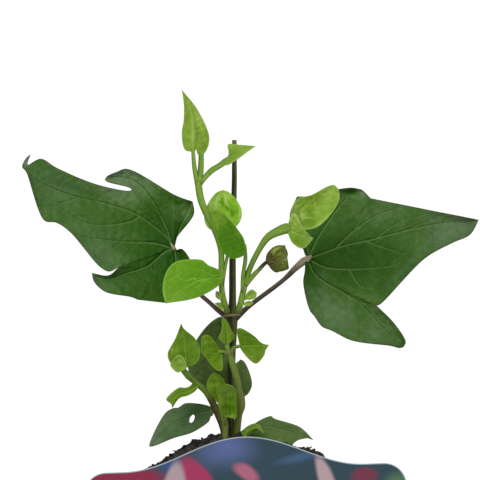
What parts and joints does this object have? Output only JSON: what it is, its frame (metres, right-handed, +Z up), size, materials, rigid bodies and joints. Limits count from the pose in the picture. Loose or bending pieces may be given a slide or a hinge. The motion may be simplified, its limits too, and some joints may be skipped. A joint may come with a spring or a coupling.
{
  "type": "potted clematis",
  "caption": "Young climbing clematis with lobed leaves, soft new shoots and a bud in a round nursery pot with a hook-on picture label.",
  "frame": {"origin": "centre of the pot's underside, on the surface that it stands on", "axes": "+Z up along the pot's axis and the main stem; the label and the faces of the leaves look along -Y; +X is to the right as the label is read"},
  "size_m": [0.1566, 0.0909, 0.2207],
  "materials": {
    "pot": "satin",
    "soil": "matte",
    "picture_label": "satin",
    "main_stem": "satin",
    "big_leaf_left": "satin",
    "big_leaf_right": "satin",
    "left_shoot": "satin",
    "right_shoot": "satin",
    "bud": "matte",
    "lower_left_shoot": "satin",
    "lower_right_shoot": "satin",
    "front_shoot": "satin",
    "old_leaf_left": "satin",
    "old_leaf_right": "satin",
    "back_leaf_left": "satin",
    "back_leaf_right": "satin",
    "soil_sprout": "satin"
  },
  "bodies": {
    "root": {"pot": "pot", "soil": "soil", "picture_label": "picture_label", "main_stem": "main_stem", "big_leaf_left": "big_leaf_left", "big_leaf_right": "big_leaf_right", "left_shoot": "left_shoot", "right_shoot": "right_shoot", "bud": "bud", "lower_left_shoot": "lower_left_shoot", "lower_right_shoot": "lower_right_shoot", "front_shoot": "front_shoot", "old_leaf_left": "old_leaf_left", "old_leaf_right": "old_leaf_right", "back_leaf_left": "back_leaf_left", "back_leaf_right": "back_leaf_right", "soil_sprout": "soil_sprout"}
  },
  "joints": []
}
